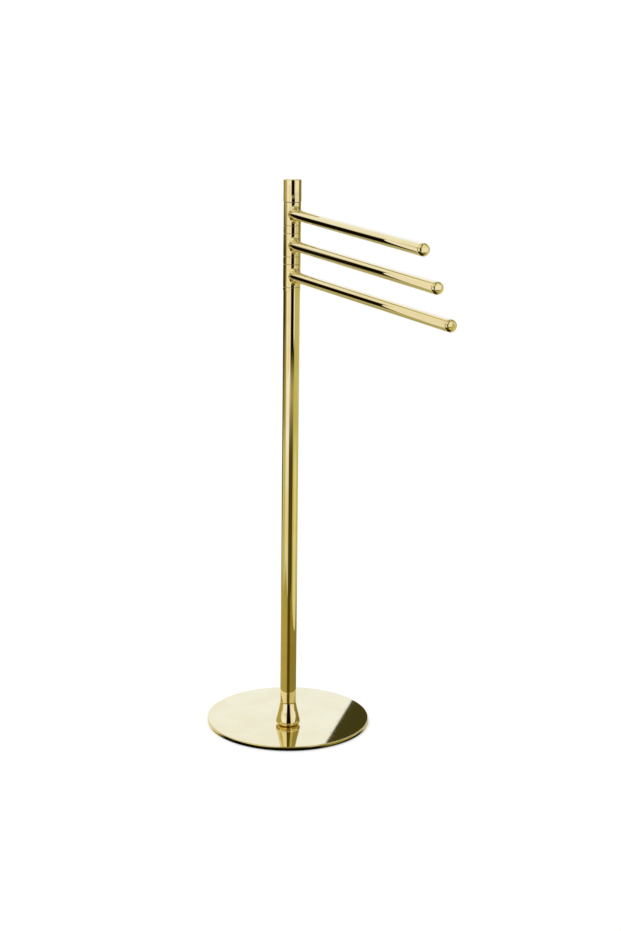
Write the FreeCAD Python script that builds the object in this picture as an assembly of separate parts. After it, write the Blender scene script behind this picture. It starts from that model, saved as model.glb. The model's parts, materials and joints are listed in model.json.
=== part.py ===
import FreeCAD, Part
import math
import os

# Freestanding towel stand: a round base plate, a tube post on a turned foot collar, and three
# straight arms, one above another, that swivel on a spindle at the head of the post.
# Millimetres. +Z is up. The origin is on the floor, under the centre of the base plate.

os.makedirs("parts", exist_ok=True)

# ---------------------------------------------------------------- driving sizes

# Base plate and the pad glued under it
base_diameter = 260.0
base_thickness = 6.5
base_top_round = 2.4
base_bottom_chamfer = 0.6
pad_thickness = 1.5
pad_inset = 4.0
post_offset = 33.0              # the post stands this far in front of the plate's centre

# Countersunk screw that holds the post down
screw_diameter = 10.0
screw_length = 25.0
screw_head_diameter = 20.0
screw_head_recess = 0.3
screw_rim = 0.6                 # cylindrical rim of the head, below its cone
socket_across_flats = 6.0
socket_depth = 3.6
pad_hole_diameter = 26.0

# Post tube
tube_diameter = 25.0
tube_wall = 1.5

# Foot collar, turned from bar
collar_height = 56.0
collar_bulge_diameter = 39.0
collar_bulge_radius = 6.5       # radius of the rounded lower edge
collar_flare_height = 38.0      # height of the corner between neck and flare
collar_flare_blend = 70.0       # radius that softens that corner
collar_spigot_length = 22.0

# Swivel hubs, one for each arm
arm_heights_from = 725.0        # axis of the bottom arm
arm_spacing = 46.0
hub_diameter = 26.0
hub_height = 34.0
hub_root_fillet = 6.0
hub_boss_length = 8.0           # from the hub's surface to the shoulder that the tube meets
hub_spigot_length = 18.0
hub_end_chamfer = 0.15

# Flanged plastic bushes, one at each end of each hub
bush_wall = 1.45
bush_length = 10.0
bush_flange = 0.5
bush_flange_inset = 0.4

# Spindle and the plug that carries it
spindle_diameter = 12.0
spindle_thread_depth = 24.0     # how far it is screwed into the plug
spindle_end_diameter = 8.0
spindle_end_length = 12.0
plug_flange_height = 5.0
plug_length = 30.0
plug_floor = 3.0                # solid metal under the tapped hole

# Adjusting stack on top of the upper hub
thrust_washer_diameter = 22.0
thrust_washer_thickness = 1.0
disc_spring_thickness = 0.9
disc_spring_rise = 0.6
nut_across_flats = 19.0
nut_height = 6.0
nut_chamfer = 0.8

# Top cap
cap_diameter = 27.0
cap_height = 33.0
cap_wall = 1.5
cap_top_round = 1.3
cap_skirt_depth = 17.0

# Arms
arm_diameter = 16.0
arm_wall = 1.0
arm_reach = 550.0               # from the post's axis to the tip
top_arm_azimuth = -73.5         # degrees from +X, seen from above
arm_fan = 2.0                   # each lower arm stands this much further round

# Arm ends
end_length = 7.0
end_edge_round = 3.6
end_crown = 0.3
end_spigot_length = 14.0

# Fits
press_fit = 0.0                 # radial, for what is pressed or glued in
running_fit = 0.05              # radial, bush on spindle
thread_fit = 0.05               # radial, between a screw and its tapped hole
thrust_play = 0.05              # axial, at each bush flange
cap_gap = 0.3                   # axial, between the cap's rim and the upper bush
seam_chamfer = 0.15             # fine break of the edges at each visible seam

# ---------------------------------------------------------------- sizes worked out from them

tube_bore_radius = tube_diameter / 2 - tube_wall
arm_bore_radius = arm_diameter / 2 - arm_wall
base_top = pad_thickness + base_thickness
collar_top = base_top + collar_height
spacer_height = arm_spacing - hub_height - 2 * (bush_flange + thrust_play)
plug_top = arm_heights_from - hub_height / 2 - bush_flange - thrust_play
tube_top = plug_top - plug_flange_height
bush_outer_radius = spindle_diameter / 2 + running_fit + bush_wall
arm_count = 3
arm_names = ["bottom", "middle", "top"]
arm_height = [arm_heights_from + level * arm_spacing for level in range(arm_count)]
arm_azimuth = [top_arm_azimuth + (arm_count - 1 - level) * arm_fan for level in range(arm_count)]
washer_bottom = arm_height[-1] + hub_height / 2 + bush_flange + thrust_play
spring_bottom = washer_bottom + thrust_washer_thickness
nut_bottom = spring_bottom + disc_spring_thickness + disc_spring_rise
nut_top = nut_bottom + nut_height
cap_bottom = washer_bottom + cap_gap
cap_top = cap_bottom + cap_height
spindle_shoulder = cap_bottom + cap_skirt_depth
spindle_tip = spindle_shoulder + spindle_end_length


# ---------------------------------------------------------------- helpers

def point(radius, height):
    """A point of a turned profile, in the XZ plane."""
    return FreeCAD.Vector(radius, 0, height)


def line(start, end):
    return Part.makeLine(point(*start), point(*end))


def arc(start, middle, end):
    return Part.Arc(point(*start), point(*middle), point(*end)).toShape()


def turned(edges):
    """The solid that a closed profile sweeps in a full turn about the Z axis."""
    face = Part.Face(Part.Wire(edges))
    solid = face.revolve(FreeCAD.Vector(0, 0, 0), FreeCAD.Vector(0, 0, 1), 360)
    return Part.Solid(solid) if solid.ShapeType != "Solid" else solid


def turned_outline(points):
    """The same, for a profile of straight lines through the points given."""
    following = points[1:] + points[:1]
    return turned([line(start, end) for start, end in zip(points, following)])


def rod(radius, bottom, top):
    return Part.makeCylinder(radius, top - bottom, point(0, bottom))


def ring(outer_radius, inner_radius, bottom, top):
    return rod(outer_radius, bottom, top).cut(rod(inner_radius, bottom, top))


def hexagon(across_flats, bottom, top):
    corner = across_flats / 2 / math.cos(math.pi / 6)
    corners = []
    for step in range(7):
        angle = step * math.pi / 3
        corners.append(FreeCAD.Vector(corner * math.cos(angle), corner * math.sin(angle), bottom))
    return Part.Face(Part.makePolygon(corners)).extrude(FreeCAD.Vector(0, 0, top - bottom))


def on_post(shape):
    """Moves a shape built about the Z axis to the axis of the post."""
    placed = shape.copy()
    placed.translate(FreeCAD.Vector(0, -post_offset, 0))
    return placed


def at_arm(shape, level):
    """Moves a shape built about the origin, arm along +X, to the arm of this level."""
    placed = shape.copy()
    placed.rotate(FreeCAD.Vector(0, 0, 0), FreeCAD.Vector(0, 0, 1), arm_azimuth[level])
    placed.translate(FreeCAD.Vector(0, 0, arm_height[level]))
    return on_post(placed)


def along_arm(shape):
    """Lays a shape built about the Z axis down along +X."""
    placed = shape.copy()
    placed.rotate(FreeCAD.Vector(0, 0, 0), FreeCAD.Vector(0, 1, 0), 90)
    return placed


# ---------------------------------------------------------------- base

def make_base_plate():
    """Flat polished disc with a rounded top edge and a countersunk hole for the post's screw."""
    radius = base_diameter / 2
    round_middle = base_top_round * (1 - math.sqrt(0.5))
    plate = turned([
        line((0, pad_thickness), (radius - base_bottom_chamfer, pad_thickness)),
        line((radius - base_bottom_chamfer, pad_thickness), (radius, pad_thickness + base_bottom_chamfer)),
        line((radius, pad_thickness + base_bottom_chamfer), (radius, base_top - base_top_round)),
        arc((radius, base_top - base_top_round),
            (radius - round_middle, base_top - round_middle),
            (radius - base_top_round, base_top)),
        line((radius - base_top_round, base_top), (0, base_top)),
        line((0, base_top), (0, pad_thickness)),
    ])
    return plate.cut(on_post(screw_shape(thread_fit)))


def screw_shape(clearance):
    """Outline of the countersunk screw, or of the hole for it when a clearance is given."""
    shank = screw_diameter / 2 + clearance
    head = screw_head_diameter / 2 + clearance
    bottom = pad_thickness if clearance else pad_thickness + screw_head_recess
    rim_top = pad_thickness + screw_head_recess + screw_rim
    tip = pad_thickness + screw_head_recess + screw_length + clearance
    return turned_outline([
        (0, bottom), (head, bottom), (head, rim_top), (shank, rim_top + head - shank), (shank, tip), (0, tip),
    ])


def make_base_pad():
    """Thin anti-slip sheet glued under the plate, holed where the screw is reached."""
    pad = rod(base_diameter / 2 - pad_inset, 0, pad_thickness)
    return pad.cut(on_post(rod(pad_hole_diameter / 2, 0, pad_thickness)))


def make_base_screw():
    """Countersunk screw with a hexagon socket, driven up through the plate into the collar."""
    bottom = pad_thickness + screw_head_recess
    socket = hexagon(socket_across_flats, bottom, bottom + socket_depth)
    return on_post(screw_shape(0).cut(socket))


# ---------------------------------------------------------------- foot collar and post

def make_foot_collar():
    """Turned collar: rounded foot, flare that blends into a straight neck, spigot for the tube."""
    neck = tube_diameter / 2
    bulge_centre = (collar_bulge_diameter / 2 - collar_bulge_radius, base_top + collar_bulge_radius)
    corner = (neck, base_top + collar_flare_height)

    # The flare is the line from the neck's corner that touches the rounded foot.
    across = bulge_centre[0] - corner[0]
    down = corner[1] - bulge_centre[1]
    reach = math.hypot(across, down)
    slope = math.atan2(across, down) + math.asin(collar_bulge_radius / reach)
    touch = (bulge_centre[0] + collar_bulge_radius * math.cos(slope),
             bulge_centre[1] + collar_bulge_radius * math.sin(slope))

    # The blend touches the neck and the flare, the same distance from their corner.
    tangent = collar_flare_blend * math.tan(slope / 2)
    blend_top = (neck, corner[1] + tangent)
    blend_bottom = (neck + tangent * math.sin(slope), corner[1] - tangent * math.cos(slope))
    blend_middle = (neck + collar_flare_blend * (1 - math.cos(slope / 2)),
                    corner[1] + tangent - collar_flare_blend * math.sin(slope / 2))

    low_middle = (bulge_centre[0] + collar_bulge_radius * math.sin(slope / 2 + math.pi / 4),
                  bulge_centre[1] - collar_bulge_radius * math.cos(slope / 2 + math.pi / 4))
    spigot = tube_bore_radius - press_fit
    spigot_top = collar_top + collar_spigot_length
    collar = turned([
        line((0, base_top), (bulge_centre[0], base_top)),
        arc((bulge_centre[0], base_top), low_middle, touch),
        line(touch, blend_bottom),
        arc(blend_bottom, blend_middle, blend_top),
        line(blend_top, (neck, collar_top - seam_chamfer)),
        line((neck, collar_top - seam_chamfer), (neck - seam_chamfer, collar_top)),
        line((neck - seam_chamfer, collar_top), (spigot, collar_top)),
        line((spigot, collar_top), (spigot, spigot_top)),
        line((spigot, spigot_top), (0, spigot_top)),
        line((0, spigot_top), (0, base_top)),
    ])
    return on_post(collar.cut(screw_shape(thread_fit)))


def make_post_tube():
    """Drawn tube from the foot collar to the plug's flange."""
    outer = tube_diameter / 2
    return on_post(turned_outline([
        (tube_bore_radius, collar_top), (outer - seam_chamfer, collar_top),
        (outer, collar_top + seam_chamfer), (outer, tube_top - seam_chamfer),
        (outer - seam_chamfer, tube_top), (tube_bore_radius, tube_top),
    ]))


# ---------------------------------------------------------------- swivel head

def make_seat_plug():
    """Plug pressed into the tube: its flange is the seat of the bottom hub, its hole takes the spindle."""
    flange = hub_diameter / 2
    spigot = tube_bore_radius - press_fit
    hole = spindle_diameter / 2 + thread_fit
    hole_bottom = plug_top - spindle_thread_depth
    bottom = min(tube_top - plug_length, hole_bottom - plug_floor)
    return on_post(turned_outline([
        (0, bottom), (spigot, bottom), (spigot, tube_top), (flange - seam_chamfer, tube_top),
        (flange, tube_top + seam_chamfer), (flange, plug_top - seam_chamfer),
        (flange - seam_chamfer, plug_top), (hole, plug_top), (hole, hole_bottom), (0, hole_bottom),
    ]))


def make_spindle():
    """Steel spindle that carries the whole head, with a thinner threaded end for the cap."""
    radius = spindle_diameter / 2
    end = spindle_end_diameter / 2
    return on_post(turned_outline([
        (0, plug_top - spindle_thread_depth), (radius, plug_top - spindle_thread_depth),
        (radius, spindle_shoulder), (end, spindle_shoulder), (end, spindle_tip), (0, spindle_tip),
    ]))


def make_hub():
    """Swivel hub about the origin, its arm boss along +X, blended into the barrel."""
    radius = hub_diameter / 2
    half = hub_height / 2
    shoulder = radius + hub_boss_length
    barrel = rod(radius, -half, half)
    # The barrel's seam is turned to the back, so that the boss meets it along one closed edge.
    barrel.rotate(FreeCAD.Vector(0, 0, 0), FreeCAD.Vector(0, 0, 1), 180)
    boss = along_arm(rod(arm_diameter / 2, 0, shoulder))
    body = barrel.fuse(boss).removeSplitter()
    root = [edge for edge in body.Edges if isinstance(edge.Curve, Part.BSplineCurve)]
    body = body.makeFillet(hub_root_fillet, root)
    rims = [edge for edge in body.Edges if abs(edge.CenterOfMass.z) > half - hub_end_chamfer]
    body = body.makeChamfer(hub_end_chamfer, rims)
    spigot = along_arm(rod(arm_bore_radius - press_fit, shoulder, shoulder + hub_spigot_length))
    body = body.fuse(spigot).removeSplitter()
    body = body.cut(rod(bush_outer_radius - bush_wall / 2, -half, half))
    body = body.cut(rod(bush_outer_radius + press_fit, -half, -half + bush_length))
    return body.cut(rod(bush_outer_radius + press_fit, half - bush_length, half))


def make_bush(level, side):
    """Flanged bush: side is 1 at the hub's upper end and -1 at its lower end."""
    half = hub_height / 2
    bore = spindle_diameter / 2 + running_fit
    flange = hub_diameter / 2 - bush_flange_inset
    bush = turned_outline([
        (bore, half - bush_length), (bush_outer_radius, half - bush_length), (bush_outer_radius, half),
        (flange, half), (flange, half + bush_flange), (bore, half + bush_flange),
    ])
    if side < 0:
        bush.rotate(FreeCAD.Vector(0, 0, 0), FreeCAD.Vector(1, 0, 0), 180)
    return at_arm(bush, level)


def make_spacer(level):
    """Fixed sleeve on the spindle, between the hub of this level and the next one up."""
    bottom = arm_height[level] + hub_height / 2 + bush_flange + thrust_play
    top = bottom + spacer_height
    outer = hub_diameter / 2
    bore = spindle_diameter / 2 + running_fit
    return on_post(turned_outline([
        (bore, bottom), (outer - seam_chamfer, bottom), (outer, bottom + seam_chamfer),
        (outer, top - seam_chamfer), (outer - seam_chamfer, top), (bore, top),
    ]))


def make_thrust_washer():
    """Flat steel washer on the upper bush."""
    return on_post(ring(thrust_washer_diameter / 2, spindle_diameter / 2 + running_fit,
                        washer_bottom, spring_bottom))


def make_disc_spring():
    """Coned spring washer that keeps a light drag on all three hubs."""
    outer = thrust_washer_diameter / 2
    bore = spindle_diameter / 2 + running_fit
    return on_post(turned_outline([
        (outer, spring_bottom), (outer, spring_bottom + disc_spring_thickness),
        (bore, spring_bottom + disc_spring_thickness + disc_spring_rise),
        (bore, spring_bottom + disc_spring_rise),
    ]))


def make_adjusting_nut():
    """Thin hexagon nut that sets the drag, with both faces chamfered."""
    corner = nut_across_flats / 2 / math.cos(math.pi / 6)
    blank = hexagon(nut_across_flats, nut_bottom, nut_top)
    cone = turned_outline([
        (0, nut_bottom), (corner - nut_chamfer, nut_bottom), (corner, nut_bottom + nut_chamfer / 2),
        (corner, nut_top - nut_chamfer / 2), (corner - nut_chamfer, nut_top), (0, nut_top),
    ])
    hole = rod(spindle_diameter / 2 + thread_fit, nut_bottom, nut_top)
    return on_post(blank.common(cone).cut(hole))


def make_top_cap():
    """Turned cap that screws onto the spindle's end and hides the nut and spring."""
    radius = cap_diameter / 2
    skirt = radius - cap_wall
    hole = spindle_end_diameter / 2 + thread_fit
    round_middle = cap_top_round * (1 - math.sqrt(0.5))
    return on_post(turned([
        line((skirt, cap_bottom), (radius - seam_chamfer, cap_bottom)),
        line((radius - seam_chamfer, cap_bottom), (radius, cap_bottom + seam_chamfer)),
        line((radius, cap_bottom + seam_chamfer), (radius, cap_top - cap_top_round)),
        arc((radius, cap_top - cap_top_round),
            (radius - round_middle, cap_top - round_middle),
            (radius - cap_top_round, cap_top)),
        line((radius - cap_top_round, cap_top), (0, cap_top)),
        line((0, cap_top), (0, spindle_tip + thread_fit)),
        line((0, spindle_tip + thread_fit), (hole, spindle_tip + thread_fit)),
        line((hole, spindle_tip + thread_fit), (hole, spindle_shoulder)),
        line((hole, spindle_shoulder), (skirt, spindle_shoulder)),
        line((skirt, spindle_shoulder), (skirt, cap_bottom)),
    ]))


# ---------------------------------------------------------------- arms

def make_arm_tube():
    """Straight drawn tube from the hub's shoulder to the turned end."""
    start = hub_diameter / 2 + hub_boss_length
    end = arm_reach - end_length
    outer = arm_diameter / 2
    return along_arm(turned_outline([
        (arm_bore_radius, start), (outer, start), (outer, end - seam_chamfer),
        (outer - seam_chamfer, end), (arm_bore_radius, end),
    ]))


def make_arm_end():
    """Turned end plug: well rounded edge, slightly crowned face, spigot pressed into the tube."""
    start = arm_reach - end_length
    radius = arm_diameter / 2
    edge_end = arm_reach - end_crown
    edge_start = edge_end - end_edge_round
    flat = radius - end_edge_round
    round_middle = end_edge_round * math.sqrt(0.5)
    spigot = arm_bore_radius - press_fit
    crown_radius = (flat ** 2 + end_crown ** 2) / (2 * end_crown)
    crown_middle = (flat / 2, arm_reach - crown_radius + math.sqrt(crown_radius ** 2 - (flat / 2) ** 2))
    return along_arm(turned([
        line((0, start - end_spigot_length), (spigot, start - end_spigot_length)),
        line((spigot, start - end_spigot_length), (spigot, start)),
        line((spigot, start), (radius - seam_chamfer, start)),
        line((radius - seam_chamfer, start), (radius, start + seam_chamfer)),
        line((radius, start + seam_chamfer), (radius, edge_start)),
        arc((radius, edge_start), (flat + round_middle, edge_start + round_middle), (flat, edge_end)),
        arc((flat, edge_end), crown_middle, (0, arm_reach)),
        line((0, arm_reach), (0, start - end_spigot_length)),
    ]))


# ---------------------------------------------------------------- the assembly

nodes = {
    "base_plate": make_base_plate(),
    "base_pad": make_base_pad(),
    "base_screw": make_base_screw(),
    "foot_collar": make_foot_collar(),
    "post_tube": make_post_tube(),
    "seat_plug": make_seat_plug(),
    "spindle": make_spindle(),
    "spacer_lower": make_spacer(0),
    "spacer_upper": make_spacer(1),
    "thrust_washer": make_thrust_washer(),
    "disc_spring": make_disc_spring(),
    "adjusting_nut": make_adjusting_nut(),
    "top_cap": make_top_cap(),
}

hub = make_hub()
arm_tube = make_arm_tube()
arm_end = make_arm_end()
for level, name in enumerate(arm_names):
    nodes["hub_" + name] = at_arm(hub, level)
    nodes["arm_tube_" + name] = at_arm(arm_tube, level)
    nodes["arm_end_" + name] = at_arm(arm_end, level)
    nodes["bush_" + name + "_lower"] = make_bush(level, -1)
    nodes["bush_" + name + "_upper"] = make_bush(level, 1)

for name, shape in nodes.items():
    shape.exportStep("parts/" + name + ".step")
    print(name, len(shape.Solids), "solid,", round(shape.Volume, 1), "mm3, valid", shape.isValid())
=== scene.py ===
import json
import math

import bmesh
import bpy
from mathutils import Matrix, Vector


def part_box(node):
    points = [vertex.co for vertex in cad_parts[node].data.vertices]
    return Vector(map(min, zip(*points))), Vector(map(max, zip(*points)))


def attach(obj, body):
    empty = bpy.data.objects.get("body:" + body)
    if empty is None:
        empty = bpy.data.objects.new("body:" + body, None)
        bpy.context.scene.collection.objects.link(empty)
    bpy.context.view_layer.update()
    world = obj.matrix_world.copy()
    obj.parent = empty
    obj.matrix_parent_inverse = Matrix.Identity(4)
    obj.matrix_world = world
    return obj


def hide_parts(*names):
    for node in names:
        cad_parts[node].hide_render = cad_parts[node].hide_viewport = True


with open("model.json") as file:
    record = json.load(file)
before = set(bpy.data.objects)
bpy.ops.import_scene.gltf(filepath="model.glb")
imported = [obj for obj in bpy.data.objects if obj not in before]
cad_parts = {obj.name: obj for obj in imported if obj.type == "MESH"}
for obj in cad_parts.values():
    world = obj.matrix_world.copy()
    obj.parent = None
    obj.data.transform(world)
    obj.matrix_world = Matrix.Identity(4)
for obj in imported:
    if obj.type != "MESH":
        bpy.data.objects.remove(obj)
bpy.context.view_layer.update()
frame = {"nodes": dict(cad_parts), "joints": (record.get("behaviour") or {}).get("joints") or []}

# ---------------------------------------------------------------- anti-slip pad
# A disc of black foam rubber, 1.5 mm thick, cut from sheet and glued under the plate. A round
# hole in it lets a key reach the screw. It gives a soft black line where the plate meets the floor.

MM = 0.001
SHARP_ANGLE = math.radians(32)  # an edge that turns more than this shows as a crisp line
MERGE = 0.001 * MM


def linear(hex_colour):
    """An sRGB hex colour as the linear RGBA that a socket takes."""
    channels = [int(hex_colour[start:start + 2], 16) / 255 for start in (1, 3, 5)]
    return [c / 12.92 if c <= 0.04045 else ((c + 0.055) / 1.055) ** 2.4 for c in channels] + [1.0]


def add_node(tree, kind, sockets, **settings):
    """Adds one node. Each socket takes a value, or a link from another node's output."""
    node = tree.nodes.new("ShaderNode" + kind)
    for option, value in settings.items():
        setattr(node, option, value)
    for socket, value in sockets.items():
        if isinstance(value, bpy.types.NodeSocket):
            tree.links.new(value, node.inputs[socket])
        else:
            node.inputs[socket].default_value = value
    return node


def new_material(name):
    """A new node material: itself, its tree, its shader and the coordinates its patterns read."""
    material = bpy.data.materials.new(name)
    material.use_nodes = True
    tree = material.node_tree
    place = add_node(tree, "TexCoord", {}).outputs["Object"]
    return material, tree, tree.nodes["Principled BSDF"], place


def draw_out(shape, ring, place):
    """Extrudes a ring of edges and moves each new corner to place(corner). Returns the new ring."""
    made = bmesh.ops.extrude_edge_only(shape, edges=ring)["geom"]
    for corner in made:
        if isinstance(corner, bmesh.types.BMVert):
            corner.co = place(corner.co)
    return [edge for edge in made if isinstance(edge, bmesh.types.BMEdge) and edge.is_boundary]


def holed_face(radius, hole_radius, hole_centre, steps):
    """A round face with a round hole in it. Returns its shape, its outer ring and its hole's."""
    shape = bmesh.new()
    outer = bmesh.ops.create_circle(shape, segments=steps, radius=radius)["verts"]
    bmesh.ops.create_circle(shape, segments=steps, radius=hole_radius,
                            matrix=Matrix.Translation(hole_centre))
    outer_ring = [edge for edge in shape.edges if edge.verts[0] in outer]
    hole_ring = [edge for edge in shape.edges if edge.verts[0] not in outer]
    bmesh.ops.bridge_loops(shape, edges=shape.edges)
    return shape, outer_ring, hole_ring


def finish_piece(shape, name, material, body, slot, *nodes):
    """Makes a shown piece of a shape, which rides on a body and stands for the nodes named."""
    bmesh.ops.remove_doubles(shape, verts=shape.verts, dist=MERGE)
    bmesh.ops.recalc_face_normals(shape, faces=shape.faces)
    for face in shape.faces:
        face.smooth = True
    for edge in shape.edges:
        edge.smooth = edge.calc_face_angle(0.0) < SHARP_ANGLE
    mesh = bpy.data.meshes.new(name)
    shape.to_mesh(mesh)
    shape.free()
    mesh.materials.append(material)
    piece = bpy.data.objects.new(name, mesh)
    bpy.context.scene.collection.objects.link(piece)
    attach(piece, body)
    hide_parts(*nodes)


def foam_rubber():
    """Closed-cell foam rubber sheet, matt black: pinhead cells give it a dry, dusty grain."""
    material, tree, shader, place = new_material("closed_cell_foam_rubber")
    cells = add_node(tree, "TexVoronoi", {"Vector": place, "Scale": 1 / (0.9 * MM)})
    dust = add_node(tree, "TexNoise", {"Vector": place, "Scale": 1 / (14 * MM), "Detail": 4.0})
    tone = add_node(tree, "ValToRGB", {"Fac": dust.outputs["Fac"]})
    tone.color_ramp.elements[0].color = linear("#141416")
    tone.color_ramp.elements[1].color = linear("#2C2C2C")
    grain = add_node(tree, "Bump", {"Height": cells.outputs["Distance"], "Strength": 0.6,
                                    "Distance": 0.15 * MM})
    tree.links.new(tone.outputs["Color"], shader.inputs["Base Color"])
    tree.links.new(grain.outputs["Normal"], shader.inputs["Normal"])
    shader.inputs["Roughness"].default_value = 0.85
    return material


post = Vector(frame["joints"][0]["pos_m"][:2] + [0.0])
pad_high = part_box("base_pad")[1]
pad_hole_radius = 13 * MM
pad_steps = 96

pad = holed_face(pad_high.x, pad_hole_radius, post, pad_steps)[0]
raised = bmesh.ops.extrude_face_region(pad, geom=pad.faces[:], use_keep_orig=True)["geom"]
bmesh.ops.translate(pad, vec=(0, 0, pad_high.z),
                    verts=[corner for corner in raised if isinstance(corner, bmesh.types.BMVert)])
finish_piece(pad, "foam_pad", foam_rubber(), "stand", "anti_slip_pad", "base_pad")


# ---------------------------------------------------------------- base plate
# A heavy brass disc, faced and polished, with a rounded top edge and a fine chamfer below. It is
# gold-plated and lacquered like everything else that shows. Its countersink takes the screw.

def lacquered_gold():
    """Polished brass with a pale gold plate under clear lacquer: a mirror, very slightly uneven
    where the wheel polished it and where the lacquer flowed, and a little hazy in patches."""
    material, tree, shader, place = new_material("lacquered_gold_plate")
    plating = add_node(tree, "TexNoise", {"Vector": place, "Scale": 1 / (45 * MM), "Detail": 2.0})
    tone = add_node(tree, "ValToRGB", {"Fac": plating.outputs["Fac"]})
    tone.color_ramp.elements[0].position = 0.35
    tone.color_ramp.elements[0].color = linear("#EED58A")
    tone.color_ramp.elements[1].position = 0.65
    tone.color_ramp.elements[1].color = linear("#F2DC96")
    haze = add_node(tree, "TexNoise", {"Vector": place, "Scale": 1 / (9 * MM), "Detail": 6.0,
                                       "Roughness": 0.7})
    polish = add_node(tree, "MapRange", {"Value": haze.outputs["Fac"], "From Min": 0.3,
                                         "From Max": 0.75, "To Min": 0.008, "To Max": 0.03})
    flow = add_node(tree, "TexNoise", {"Vector": place, "Scale": 1 / (7 * MM), "Detail": 1.0})
    ripple = add_node(tree, "Bump", {"Height": flow.outputs["Fac"], "Strength": 1.0,
                                     "Distance": 0.006 * MM})
    tree.links.new(tone.outputs["Color"], shader.inputs["Base Color"])
    tree.links.new(polish.outputs["Result"], shader.inputs["Roughness"])
    tree.links.new(ripple.outputs["Normal"], shader.inputs["Coat Normal"])
    shader.inputs["Metallic"].default_value = 1.0
    shader.inputs["Coat Weight"].default_value = 1.0
    shader.inputs["Coat Roughness"].default_value = 0.01
    return material


ROUND_STEPS = 10                # facets across a rounded edge
gold = lacquered_gold()
plate_low, plate_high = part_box("base_plate")
plate_radius = plate_high.x
plate_steps = 240
plate_round = 1.2 * MM
plate_chamfer = 0.6 * MM
screw_head_radius = 10.05 * MM
screw_hole_radius = 5.05 * MM
screw_rim = 0.9 * MM
flat_margin = 0.4 * MM          # ring that keeps the flat top flat up to its rounded edge

plate, plate_rim, screw_hole = holed_face(plate_radius, screw_head_radius, post, plate_steps)
bmesh.ops.translate(plate, vec=(0, 0, plate_low.z), verts=plate.verts)
screw_hole = draw_out(plate, screw_hole, lambda c: c + Vector((0, 0, screw_rim)))
cone_top = plate_low.z + screw_rim + screw_head_radius - screw_hole_radius
narrowed = screw_hole_radius / screw_head_radius
screw_hole = draw_out(plate, screw_hole, lambda c: (post.xy + (c.xy - post.xy) * narrowed).to_3d()
                      + Vector((0, 0, cone_top)))
bmesh.ops.contextual_create(plate, geom=screw_hole)
top_rim = draw_out(plate, plate_rim, lambda c: Vector((c.x, c.y, plate_high.z)))
bmesh.ops.contextual_create(plate, geom=top_rim)
bmesh.ops.bevel(plate, geom=top_rim, offset=plate_round, offset_type="OFFSET", affect="EDGES",
                segments=ROUND_STEPS, profile=0.5, material=-1)
bmesh.ops.bevel(plate, geom=plate_rim, offset=plate_chamfer, offset_type="OFFSET", affect="EDGES",
                segments=1, profile=0.5, material=-1)
plate_top = max(plate.faces, key=lambda face: face.calc_area())
bmesh.ops.inset_region(plate, faces=[plate_top], thickness=flat_margin)
finish_piece(plate, "gold_base_plate", gold, "stand", "polished_gold", "base_plate")


# ---------------------------------------------------------------- screw, spindle and spring stack
# Bright zinc-plated steel, turned or stamped. The screw's head shows only from below, and the
# rest is shut in by the hubs and the cap, so these keep the solids that they come with.

def zinc_steel():
    """Bright zinc over turned steel: a bluish silver with fine turning lines and a milky bloom."""
    material, tree, shader, place = new_material("bright_zinc_plated_steel")
    bloom = add_node(tree, "TexNoise", {"Vector": place, "Scale": 1 / (5 * MM), "Detail": 5.0})
    tone = add_node(tree, "ValToRGB", {"Fac": bloom.outputs["Fac"]})
    tone.color_ramp.elements[0].color = linear("#A9AEB3")
    tone.color_ramp.elements[1].color = linear("#CBCDCB")
    lines = add_node(tree, "TexWave", {"Vector": place, "Scale": 1 / (0.5 * MM), "Distortion": 1.5},
                     bands_direction="Z")
    turning = add_node(tree, "Bump", {"Height": lines.outputs["Fac"], "Strength": 0.3,
                                      "Distance": 0.02 * MM})
    tree.links.new(tone.outputs["Color"], shader.inputs["Base Color"])
    tree.links.new(turning.outputs["Normal"], shader.inputs["Normal"])
    shader.inputs["Metallic"].default_value = 1.0
    shader.inputs["Roughness"].default_value = 0.28
    return material


zinc = zinc_steel()
for node in ("base_screw", "spindle", "thrust_washer", "disc_spring", "adjusting_nut"):
    frame["nodes"][node].data.materials.clear()
    frame["nodes"][node].data.materials.append(zinc)


# ---------------------------------------------------------------- foot collar
# Turned from brass bar: a rounded foot that flares up into the post's own diameter, with a
# spigot that the tube is pushed over. A hairline shows where it meets the tube.

TURN_STEPS = 160                # facets of a turned piece in one full turn


def turned(corners, closed=True):
    """A shape turned about the Z axis. Each corner of its profile is (radius, height, round)."""
    shape = bmesh.new()
    profile = [shape.verts.new((radius, 0, height)) for radius, height, _ in corners]
    following = profile[1:] + profile[:1] if closed else profile[1:]
    for start, end in zip(profile, following):
        shape.edges.new((start, end))
    for corner, (_, _, rounding) in zip(profile, corners):
        if rounding:
            bmesh.ops.bevel(shape, geom=[corner], offset=rounding, offset_type="OFFSET",
                            affect="VERTICES", segments=ROUND_STEPS, profile=0.5, material=-1)
    bmesh.ops.spin(shape, geom=shape.verts[:] + shape.edges[:], axis=(0, 0, 1), cent=(0, 0, 0),
                   angle=2 * math.pi, steps=TURN_STEPS, use_merge=True)
    return shape


def on_post(shape):
    """Moves a turned shape to the axis of the post."""
    bmesh.ops.translate(shape, vec=post, verts=shape.verts)
    return shape


collar_low, collar_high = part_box("foot_collar")
tube_low, tube_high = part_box("post_tube")
tube_radius = tube_high.x
tube_wall = 1.5 * MM
tube_bore = tube_radius - tube_wall
seam = 0.15 * MM                # fine break of the edges at each visible seam
bulge_radius = collar_high.x
bulge_round = 6.5 * MM
neck_end = collar_low.z + 38 * MM      # the neck ends here and the flare begins
neck_blend = 14 * MM
upper_slope = math.radians(11.5)
flare_middle = collar_low.z + 24 * MM  # and from here it is a little steeper
middle_blend = 100 * MM
collar_top = tube_low.z

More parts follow.
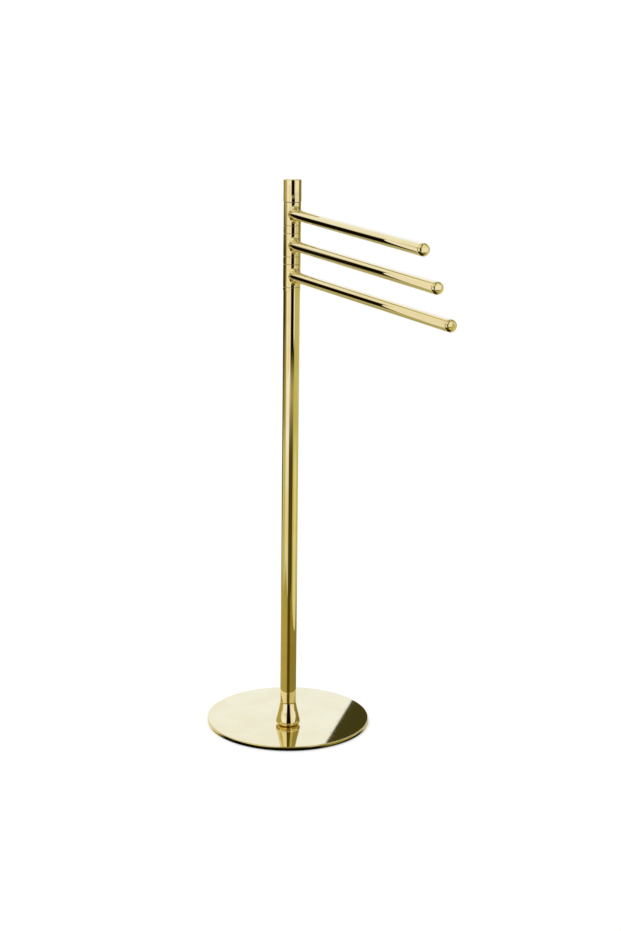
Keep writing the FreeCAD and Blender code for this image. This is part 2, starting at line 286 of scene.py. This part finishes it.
bulge_centre = bulge_radius - bulge_round
middle_radius = tube_radius + (neck_end - flare_middle) * math.tan(upper_slope)
flare_drop = flare_middle - collar_low.z - bulge_round
flare_run = bulge_centre - middle_radius
flare_slope = (math.atan2(flare_run, flare_drop)
               + math.asin(bulge_round / math.hypot(flare_run, flare_drop)))
foot_corner = middle_radius + (flare_middle - collar_low.z) * math.tan(flare_slope)
foot_tangent = bulge_round * math.tan((math.pi / 2 + flare_slope) / 2)
neck_tangent = neck_blend * math.tan(upper_slope / 2)
middle_tangent = middle_blend * math.tan((flare_slope - upper_slope) / 2)

finish_piece(on_post(turned([
    (0, collar_low.z, 0), (foot_corner, collar_low.z, foot_tangent),
    (middle_radius, flare_middle, middle_tangent), (tube_radius, neck_end, neck_tangent),
    (tube_radius, collar_top - seam, 0),
    (tube_radius - seam, collar_top, 0), (tube_bore, collar_top, 0),
    (tube_bore, collar_high.z, 0), (0, collar_high.z, 0),
], closed=False)), "gold_foot_collar", gold, "stand", "polished_gold", "foot_collar")


# ---------------------------------------------------------------- post tube and plug
# Drawn brass tube, 25 mm across with a 1.5 mm wall. The plug pressed into its top has a flange
# that the lowest hub turns on.

finish_piece(on_post(turned([
    (tube_bore, tube_low.z, 0), (tube_radius - seam, tube_low.z, 0),
    (tube_radius, tube_low.z + seam, 0), (tube_radius, tube_high.z - seam, 0),
    (tube_radius - seam, tube_high.z, 0), (tube_bore, tube_high.z, 0),
])), "gold_post_tube", gold, "stand", "polished_gold", "post_tube")

plug_low, plug_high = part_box("seat_plug")
flange_radius = plug_high.x
finish_piece(on_post(turned([
    (0, plug_low.z, 0), (tube_bore, plug_low.z, 0), (tube_bore, tube_high.z, 0),
    (flange_radius - seam, tube_high.z, 0), (flange_radius, tube_high.z + seam, 0),
    (flange_radius, plug_high.z - seam, 0), (flange_radius - seam, plug_high.z, 0),
    (0, plug_high.z, 0),
], closed=False)), "gold_plug_flange", gold, "stand", "polished_gold", "seat_plug")


# ---------------------------------------------------------------- spacers and cap
# Short sleeves that stay still on the spindle between the hubs, and the turned cap that screws
# onto its end. The cap is a shade wider and flat on top, with a small rounded edge.

spacer_bore = 6.05 * MM
for level in ("lower", "upper"):
    low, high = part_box("spacer_" + level)
    finish_piece(on_post(turned([
        (spacer_bore, low.z, 0), (high.x - seam, low.z, 0), (high.x, low.z + seam, 0),
        (high.x, high.z - seam, 0), (high.x - seam, high.z, 0), (spacer_bore, high.z, 0),
    ])), "gold_spacer_" + level, gold, "stand", "polished_gold", "spacer_" + level)

cap_low, cap_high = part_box("top_cap")
cap_radius = cap_high.x
cap_wall = 1.5 * MM
cap_round = 1.3 * MM
cap_skirt = 17 * MM
finish_piece(on_post(turned([
    (0, cap_low.z + cap_skirt, 0), (cap_radius - cap_wall, cap_low.z + cap_skirt, 0),
    (cap_radius - cap_wall, cap_low.z, 0), (cap_radius - seam, cap_low.z, 0),
    (cap_radius, cap_low.z + seam, 0), (cap_radius, cap_high.z, cap_round),
    (cap_radius - cap_round - flat_margin, cap_high.z, 0), (0, cap_high.z, 0),
], closed=False)), "gold_top_cap", gold, "stand", "polished_gold", "top_cap")


# ---------------------------------------------------------------- bushes
# Flanged bushes moulded in ochre acetal, pressed into both ends of each hub. Only the rim of
# each flange shows, as a hairline in the shadow between a hub and what it turns on.

def ochre_acetal():
    """Acetal coloured dull ochre to go with the gold: faintly mottled, with a soft sheen."""
    material, tree, shader, place = new_material("ochre_acetal")
    milk = add_node(tree, "TexNoise", {"Vector": place, "Scale": 1 / (3 * MM), "Detail": 3.0})
    tone = add_node(tree, "ValToRGB", {"Fac": milk.outputs["Fac"]})
    tone.color_ramp.elements[0].color = linear("#85733A")
    tone.color_ramp.elements[1].color = linear("#978347")
    tree.links.new(tone.outputs["Color"], shader.inputs["Base Color"])
    shader.inputs["Roughness"].default_value = 0.42
    shader.inputs["Subsurface Weight"].default_value = 0.15
    shader.inputs["Subsurface Scale"].default_value = 1.0 * MM
    return material


acetal = ochre_acetal()
hub_radius = 13 * MM
hub_half = 17 * MM
bush_bore = 6.05 * MM
bush_radius = 7.5 * MM
bush_length = 10 * MM
bush_flange = 0.5 * MM
bush_flange_radius = hub_radius - 0.4 * MM

for joint in frame["joints"]:
    level = joint["child"].removeprefix("arm_")
    for side, end in ((-1, "lower"), (1, "upper")):
        bush = turned([
            (bush_bore, side * (hub_half - bush_length), 0),
            (bush_radius, side * (hub_half - bush_length), 0), (bush_radius, side * hub_half, 0),
            (bush_flange_radius, side * hub_half, 0),
            (bush_flange_radius, side * (hub_half + bush_flange), 0),
            (bush_bore, side * (hub_half + bush_flange), 0),
        ])
        bmesh.ops.translate(bush, vec=joint["pos_m"], verts=bush.verts)
        name = "bush_" + level + "_" + end
        finish_piece(bush, "acetal_" + name, acetal, joint["child"], "bearing_plastic", name)


# ---------------------------------------------------------------- hubs
# Each arm grows out of its own hub, a barrel that turns on the spindle. The arm's boss runs into
# the barrel in one smooth fillet, filed and polished after brazing, and the tube butts to it.

boss_radius = 8 * MM
boss_end = 21 * MM              # shoulder that the tube meets, from the post's axis
root_fillet = 6 * MM
spigot_radius = 7 * MM
spigot_length = 18 * MM
hub_chamfer = 0.15 * MM
around = 256                    # facets round the boss
fillet_steps = 14
barrel_steps = 30


def hub_point(turn, station):
    """A point of the hub's skin, arm along +X: turn goes round the boss from its top, station
    runs from the shoulder (0) over the boss (1) and the fillet to the barrel's far side."""
    up, across = math.cos(turn), math.sin(turn)
    reach = hub_radius + root_fillet
    ball = Vector((0, (boss_radius + root_fillet) * across, (boss_radius + root_fillet) * up))
    ball.x = math.sqrt(reach ** 2 - ball.y ** 2)
    if station == 0:
        return Vector((boss_end, boss_radius * across, boss_radius * up))
    if station <= 1 + fillet_steps:
        to_boss = Vector((0, -across, -up))
        to_barrel = Vector((-ball.x, -ball.y, 0)).normalized()
        return ball + to_boss.slerp(to_barrel, (station - 1) / fillet_steps) * root_fillet
    share = (station - 1 - fillet_steps) / barrel_steps
    reached = max(abs(up), abs(across))
    azimuth = math.atan2(ball.y, ball.x) * (1 - share) + math.pi * across / reached * share
    height = ball.z * (1 - share) + (hub_half - hub_chamfer) * up / reached * share
    return Vector((hub_radius * math.cos(azimuth), hub_radius * math.sin(azimuth), height))


def swivel_hub():
    """The hub's skin is a grid wrapped round the boss and the barrel, then closed ring by ring."""
    stations = 1 + fillet_steps + barrel_steps
    hub = bmesh.new()
    bmesh.ops.create_grid(hub, x_segments=around, y_segments=stations, size=1)
    for corner in hub.verts:
        station = round((corner.co.y + 1) / 2 * stations)
        corner.co = hub_point(corner.co.x * math.pi, station)
    bmesh.ops.remove_doubles(hub, verts=hub.verts, dist=MERGE)
    open_edges = [edge for edge in hub.edges if edge.is_boundary]
    mouth = [edge for edge in open_edges if edge.verts[0].co.x > boss_end - MERGE]
    narrowed = spigot_radius / boss_radius
    mouth = draw_out(hub, mouth, lambda c: Vector((c.x, c.y * narrowed, c.z * narrowed)))
    mouth = draw_out(hub, mouth, lambda c: c + Vector((spigot_length, 0, 0)))
    bmesh.ops.contextual_create(hub, geom=mouth)
    for side in (1, -1):
        rim = [edge for edge in open_edges
               if side * edge.verts[0].co.z > boss_radius and edge.verts[0].co.x < boss_end - MERGE]
        for radius, height in ((hub_radius - hub_chamfer, side * hub_half),
                               (bush_radius, side * hub_half), (bush_radius, 0)):
            rim = draw_out(hub, rim, lambda c: (c.xy.normalized() * radius).to_3d()
                           + Vector((0, 0, height)))
    return hub


arm_places = {}
for joint in frame["joints"]:
    level = joint["child"].removeprefix("arm_")
    low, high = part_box("arm_tube_" + level)
    along = (low + high) / 2 - Vector(joint["pos_m"])
    arm_places[level] = (Matrix.Translation(joint["pos_m"])
                         @ Matrix.Rotation(math.atan2(along.y, along.x), 4, "Z"))
    hub = swivel_hub()
    bmesh.ops.transform(hub, matrix=arm_places[level], verts=hub.verts)
    finish_piece(hub, "gold_hub_" + level, gold, joint["child"], "polished_gold", "hub_" + level)


# ---------------------------------------------------------------- arms and their ends
# Drawn brass tubes, 16 mm across, brazed to the hubs. Each is closed by a turned plug with a
# rounded edge and a slightly crowned face, and a hairline shows where the plug begins.

arm_bore = 7 * MM
arm_end_start = 543 * MM
arm_reach = 550 * MM
end_round = 3.6 * MM
end_crown = 0.06 * MM
end_spigot = 14 * MM

for joint in frame["joints"]:
    level = joint["child"].removeprefix("arm_")
    lay_down = arm_places[level] @ Matrix.Rotation(math.pi / 2, 4, "Y")
    tube = turned([
        (arm_bore, boss_end, 0), (boss_radius, boss_end, 0), (boss_radius, arm_end_start - seam, 0),
        (boss_radius - seam, arm_end_start, 0), (arm_bore, arm_end_start, 0),
    ])
    plug = turned([
        (0, arm_end_start - end_spigot, 0), (arm_bore, arm_end_start - end_spigot, 0),
        (arm_bore, arm_end_start, 0), (boss_radius - seam, arm_end_start, 0),
        (boss_radius, arm_end_start + seam, 0), (boss_radius, arm_reach - end_crown, end_round),
        (0, arm_reach, 0),
    ], closed=False)
    for shape, piece, node in ((tube, "gold_arm_", "arm_tube_"),
                               (plug, "gold_arm_end_", "arm_end_")):
        bmesh.ops.transform(shape, matrix=lay_down, verts=shape.verts)
        finish_piece(shape, piece + level, gold, joint["child"], "polished_gold", node + level)


# ---------------------------------------------------------------- floor
# A plain pale sheet under the stand, white to the camera. In the metal's reflections it is painted
# instead:
# a dull gold, darker on the right, with a painted ring of light round the post, painted shade in
# front and a painted contact shadow, a black line round the plate.

def between(tree, value, low, high, blur):
    """A mask that is 1 from low to high and fades to 0 over the blur on both sides of each end."""
    rise = add_node(tree, "MapRange", {"Value": value, "From Min": low - blur,
                                       "From Max": low + blur}, interpolation_type="SMOOTHSTEP")
    fall = add_node(tree, "MapRange", {"Value": value, "From Min": high + blur,
                                       "From Max": high - blur}, interpolation_type="SMOOTHSTEP")
    return add_node(tree, "Math", {0: rise.outputs["Result"], 1: fall.outputs["Result"]},
                    operation="MULTIPLY").outputs["Value"]


def compass(tree, parts):
    """The compass angle of a direction: 0 is towards the camera, negative is to its left."""
    forwards = add_node(tree, "Math", {0: parts.outputs["Y"], 1: -1.0}, operation="MULTIPLY")
    return add_node(tree, "Math", {0: parts.outputs["X"], 1: forwards.outputs["Value"]},
                    operation="ARCTAN2").outputs["Value"]


def painted(tree, under, over, mask):
    """One colour painted over another where the mask is 1."""
    return add_node(tree, "Mix", {"Factor": mask, 6: under, 7: over}, data_type="RGBA").outputs[2]


floor_left, floor_right = -0.75, 0.5
floor_front, floor_back = -0.7, 0.62
floor_drop = 0.1 * MM           # keeps the pad's underside clear of the sheet
floor_lift = 0.55               # brings the sheet up to white, for the camera only
floor_material, tree, shader, place = new_material("plain_pale_floor")
path = add_node(tree, "LightPath", {})
lift = add_node(tree, "Math", {0: path.outputs["Is Camera Ray"], 1: floor_lift},
                operation="MULTIPLY")
from_post = add_node(tree, "VectorMath", {0: place, 1: -post}, operation="ADD")
post_parts = add_node(tree, "SeparateXYZ", {"Vector": from_post.outputs["Vector"]})
post_reach = add_node(tree, "VectorMath", {0: from_post.outputs["Vector"]},
                      operation="LENGTH").outputs["Value"]
reach = add_node(tree, "VectorMath", {0: place}, operation="LENGTH").outputs["Value"]
heading = compass(tree, post_parts)
right_side = between(tree, heading, math.radians(20), math.radians(175), math.radians(12))
# Painted shade on the floor in front of the post, which only reflections show.
painted_shade_front = between(tree, heading, math.radians(-20), math.radians(22), math.radians(9))
# A ring of painted light on the floor round the post, which only reflections show.
painted_glow_ring = between(tree, post_reach, 126 * MM, 181 * MM, 1.5 * MM)
# A painted contact shadow: a black line on the floor round the plate, wide on its front and narrow
# on its right front, which only reflections show.
under_rim = between(tree, reach, 0, plate_radius + 17 * MM, 1.5 * MM)
front_side = between(tree, heading, math.radians(-72), math.radians(38), math.radians(8))
next_to_rim = between(tree, reach, 0, plate_radius + 9 * MM, 1.5 * MM)
right_front = between(tree, heading, math.radians(30), math.radians(84), math.radians(8))
wide_contact_shadow = add_node(tree, "Math", {0: under_rim, 1: front_side}, operation="MULTIPLY")
narrow_contact_shadow = add_node(tree, "Math", {0: next_to_rim, 1: right_front}, operation="MULTIPLY")
painted_contact_shadow = add_node(tree, "Math", {0: wide_contact_shadow.outputs["Value"], 1: narrow_contact_shadow.outputs["Value"]},
                   operation="MAXIMUM").outputs["Value"]
# What reflections see is painted: a dull gold, darker on the right as painted shade, with the
# painted ring of light, the painted shade in front and the painted contact shadow over it. All other
# rays see plain grey.
painted_floor_reflection = painted(tree, linear("#B9B06C"), linear("#978E4C"), right_side)
painted_glow_colour = painted(tree, linear("#FBF9E0"), linear("#DAD7AB"), right_side)
painted_floor_reflection = painted(tree, painted_floor_reflection, painted_glow_colour, painted_glow_ring)
painted_floor_reflection = painted(tree, painted_floor_reflection, linear("#57490F"), painted_shade_front)
painted_floor_reflection = painted(tree, painted_floor_reflection, linear("#0C0B08"), painted_contact_shadow)
sheet = painted(tree, linear("#BCBCBC"), painted_floor_reflection, path.outputs["Is Glossy Ray"])
tree.links.new(sheet, shader.inputs["Base Color"])
shader.inputs["Roughness"].default_value = 0.9
shader.inputs["Specular IOR Level"].default_value = 0.0
shader.inputs["Emission Color"].default_value = linear("#FFFFFF")
tree.links.new(lift.outputs["Value"], shader.inputs["Emission Strength"])

floor_shape = bmesh.new()
bmesh.ops.create_grid(floor_shape, x_segments=1, y_segments=1, size=0.5)
bmesh.ops.scale(floor_shape, vec=(floor_right - floor_left, floor_back - floor_front, 1),
                verts=floor_shape.verts)
bmesh.ops.translate(floor_shape, vec=((floor_left + floor_right) / 2,
                                      (floor_front + floor_back) / 2, -floor_drop),
                    verts=floor_shape.verts)
floor_mesh = bpy.data.meshes.new("floor")
floor_shape.to_mesh(floor_mesh)
floor_shape.free()
floor_mesh.materials.append(floor_material)
floor = bpy.data.objects.new("floor", floor_mesh)
bpy.context.scene.collection.objects.link(floor)


# ---------------------------------------------------------------- studio light
# A white tent, open towards the dark room behind the camera. The polished metal shows its panels
# and flags, each painted on the world by compass angle and height. All else sees plain white.

LOW, HIGH = -90, 90             # the whole height, in degrees above the horizon
BLACK = (0.006, 0.003, 0.001)
PANELS = (                      # left, right, blur; bottom, top, blur; light
    ((-200, 200, 5), (LOW, 11, 5), (0.96, 0.95, 0.88)),         # back wall, warmer near the table
    ((-172, -125, 8), (1, 34, 5), (0.97, 0.97, 0.84)),          # its left part, a little yellower
    ((-200, 200, 5), (LOW, -4, 2), (0.62, 0.61, 0.28)),         # tent's lower skirt
    ((-136, -78, 6), (-5, 25, 2), (0.50, 0.46, 0.22)),          # its grey side, on the left
    ((-200, 200, 5), (LOW, -17, 3), (0.50, 0.47, 0.22)),        # table beyond the sheet
    ((-200, -80, 6), (-12, -9, 1), (0.36, 0.31, 0.11)),         # shade under its rail
    ((-200, -86, 6), (-9.5, -4.5, 1.5), (0.07, 0.06, 0.02)),    # dark rail of the tent, on the left
    ((-200, 200, 5), (38, HIGH, 6), (0.60, 0.64, 0.36)),        # top of the tent
    ((60, 165, 8), (24, 70, 6), (0.36, 0.34, 0.15)),            # its dimmer edge, on the right
    ((-66, -12, 8), (LOW, 34, 4), (0.68, 0.66, 0.44)),          # wall above the soft box on the left
    ((-70, -8, 8), (34, 75, 4), (1.03, 1.15, 1.30)),            # lamp high on the left
    ((-66, -4, 10), (LOW, 4.5, 2), (1.06, 1.12, 1.45)),         # soft box on the left
    ((-66, -4, 10), (LOW, -13.5, 2), (0.84, 0.86, 0.70)),       # its dimmer lower edge
    ((56, 100, 7), (LOW, -12.5, 1), (0.84, 0.85, 0.52)),        # light of the box on the right
    ((52, 96, 7), (-4.8, -2.6, 0.4), (0.95, 0.98, 1.00)),       # soft box on the right, lower edge
    ((46, 88, 3), (-2.6, 40, 0.4), (0.56, 0.62, 0.34)),         # wall above it
    ((42, 86, 4), (-2.6, 4.5, 1.2), (1.00, 1.05, 1.22)),        # and the whole of it
    ((92, 150, 8), (-6, 32, 2), (0.60, 0.58, 0.34)),            # its side, shaded low down
    ((92, 150, 8), (-6, 13, 2), (0.24, 0.20, 0.07)),
    ((-172, -146, 4), (-18, -8, 2), BLACK),                     # black flags behind left, which
    ((-153, -128, 4), (-15, 3, 2), BLACK),                      # draw the arms' dark stripes
    ((-143, -128, 3), (-15, 9, 2), BLACK),
    ((-20, 38, 7), (-20, -11, 2), (0.085, 0.066, 0.016)),       # room behind the camera, low down
    ((-10, 45, 7), (-10, -2.6, 1), BLACK),                      # its dark upper part
    ((-14, 27, 5), (-2.6, HIGH, 0.4), BLACK),
    ((-14, 27, 5), (13, 35, 3), (0.60, 0.58, 0.34)),            # white door in it
    ((-14, 27, 5), (38, 62, 5), (0.11, 0.09, 0.015)),           # ceiling lamp's glow in it
    ((33, 47, 2), (-8.9, -2.4, 0.4), (1.00, 1.04, 1.15)),       # gap in it beside the soft box
    ((-110, 54, 8), (LOW, -23, 2), BLACK),                      # dark floor in front of the table
)
world = bpy.data.worlds.new("white_tent")
bpy.context.scene.world = world
world.use_nodes = True
tree = world.node_tree
direction = add_node(tree, "TexCoord", {}).outputs["Generated"]
parts = add_node(tree, "SeparateXYZ", {"Vector": direction})
heading = compass(tree, parts)
height = add_node(tree, "Math", {0: parts.outputs["Z"]}, operation="ARCSINE").outputs["Value"]
tent = (1.0, 1.11, 1.34, 1)     # the lit back wall
for across, upwards, light in PANELS:
    width = between(tree, heading, *(math.radians(angle) for angle in across))
    rise = between(tree, height, *(math.radians(angle) for angle in upwards))
    panel = add_node(tree, "Math", {0: width, 1: rise}, operation="MULTIPLY").outputs["Value"]
    tent = painted(tree, tent, (*light, 1), panel)

# A dark flag stands behind the stand on the right. Only the plate shows it, with its slanted edge.
flag_plane = Vector((0.85104, -0.21985, 0.47686))    # the normal of the plane through that edge
flag_light = (0.057, 0.055, 0.015, 1)
flag_side = add_node(tree, "VectorMath", {0: direction, 1: flag_plane},
                     operation="DOT_PRODUCT").outputs["Value"]
flag_edge = between(tree, flag_side, 0, 0.04, 0.0006)
flag_height = between(tree, height, math.radians(12), math.radians(34), math.radians(4))
flag_back = between(tree, parts.outputs["Y"], 0.5, 2, 0.2)
flag = add_node(tree, "Math", {0: flag_edge, 1: flag_height}, operation="MULTIPLY").outputs["Value"]
flag = add_node(tree, "Math", {0: flag, 1: flag_back}, operation="MULTIPLY").outputs["Value"]
tent = painted(tree, tent, flag_light, flag)

path = add_node(tree, "LightPath", {})
plain_level = 0.65
plain = painted(tree, (plain_level, plain_level, plain_level, 1), (1, 1, 1, 1),
                path.outputs["Is Camera Ray"])
shown = painted(tree, plain, tent, path.outputs["Is Glossy Ray"])
tree.links.new(shown, tree.nodes["Background"].inputs["Color"])

# A pale card hangs left of the arms' tips. Only reflections show it.
card_low, card_high = Vector((-0.12, -0.335, 0.54)), Vector((-0.12, -0.135, 0.86))
card_material, tree, shader, place = new_material("pale_card")
shader.inputs["Base Color"].default_value = (0, 0, 0, 1)
shader.inputs["Roughness"].default_value = 1.0
shader.inputs["Specular IOR Level"].default_value = 0.0
shader.inputs["Emission Color"].default_value = linear("#FFFDF2")
shader.inputs["Emission Strength"].default_value = 0.95

card_shape = bmesh.new()
bmesh.ops.create_grid(card_shape, x_segments=1, y_segments=1, size=0.5,
                      matrix=Matrix.Rotation(math.pi / 2, 4, "Y"))
bmesh.ops.scale(card_shape, vec=card_high - card_low, verts=card_shape.verts)
bmesh.ops.translate(card_shape, vec=(card_low + card_high) / 2, verts=card_shape.verts)
card_mesh = bpy.data.meshes.new("pale_card")
card_shape.to_mesh(card_mesh)
card_shape.free()
card_mesh.materials.append(card_material)
card = bpy.data.objects.new("pale_card", card_mesh)
card.visible_camera = False
card.visible_diffuse = False
card.visible_shadow = False
bpy.context.scene.collection.objects.link(card)

# The key light gives the soft shadow on the floor. The metal doesn't mirror it.
key = bpy.data.objects.new("key", bpy.data.lights.new("key", "SUN"))
key.data.energy = 1.25
key.data.angle = math.radians(30)
key.rotation_euler = (math.radians(32), 0, math.radians(-35))
key.visible_glossy = False
bpy.context.scene.collection.objects.link(key)


# ---------------------------------------------------------------- camera
# It stands 2.5 m in front of the post, about 1 m above the floor, looking slightly down.

frame_height = 931              # pixels of the photograph's long side
focal_length = 1651             # in the same pixels
pitch, roll, yaw = 0.22883, 0.01159, 0.01267
camera_place = (0, -2.5135, 1.0098)
camera = bpy.data.objects.new("camera", bpy.data.cameras.new("camera"))
camera.data.sensor_width = 36
camera.data.lens = camera.data.sensor_width * focal_length / frame_height
forward = Vector((math.sin(yaw) * math.cos(pitch), math.cos(yaw) * math.cos(pitch),
                  -math.sin(pitch)))
right = Vector((math.cos(yaw), -math.sin(yaw), 0))
upward = right.cross(forward)
level = Matrix((right, upward, -forward)).transposed().to_4x4()
camera.matrix_world = (Matrix.Translation(camera_place) @ level
                       @ Matrix.Rotation(roll, 4, "Z"))
bpy.context.scene.collection.objects.link(camera)
bpy.context.scene.camera = camera
bpy.context.scene.view_settings.view_transform = "Standard"
